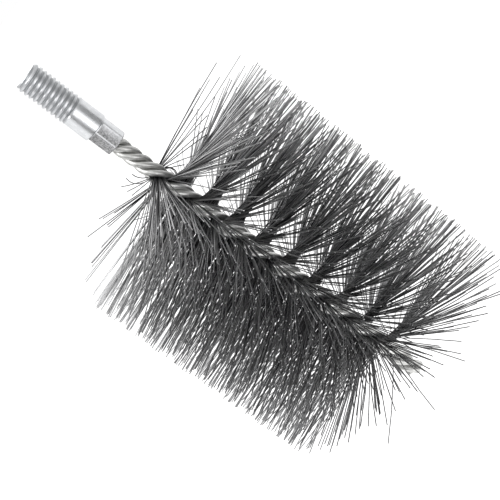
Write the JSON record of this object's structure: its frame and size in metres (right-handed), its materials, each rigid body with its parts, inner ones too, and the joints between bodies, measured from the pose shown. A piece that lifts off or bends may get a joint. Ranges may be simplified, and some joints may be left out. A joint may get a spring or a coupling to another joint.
{
  "type": "chimney sweep brush",
  "caption": "Round wire brush for sweeping a flue: steel bristles twisted into a wire stem, crimped in a steel ferrule with a threaded stud.",
  "frame": {"origin": "centre of the flat end face of the threaded stud, where the brush meets the bottom of the rod's socket", "axes": "+Z along the stem, out of the stud's end towards the rod; the brush runs along -Z; +X is square to the stem and lies across the picture's view"},
  "size_m": [0.1213, 0.1218, 0.2065],
  "materials": {
    "zinc_plated_steel": "bright zinc plate over turned and crimped steel",
    "stem_wire_steel": "drawn steel wire, soft sheen",
    "bristle_steel": "dark tempered steel wire, fine bright glints"
  },
  "bodies": {
    "root": {"threaded_ferrule": "zinc_plated_steel", "stem_wire_1": "stem_wire_steel", "stem_wire_2": "stem_wire_steel", "stem_wire_3": "stem_wire_steel", "stem_wire_4": "stem_wire_steel", "bristle_fan_01": "bristle_steel", "bristle_fan_02": "bristle_steel", "bristle_fan_03": "bristle_steel", "bristle_fan_04": "bristle_steel", "bristle_fan_05": "bristle_steel", "bristle_fan_06": "bristle_steel", "bristle_fan_07": "bristle_steel", "bristle_fan_08": "bristle_steel", "bristle_fan_09": "bristle_steel", "bristle_fan_10": "bristle_steel"}
  },
  "joints": []
}
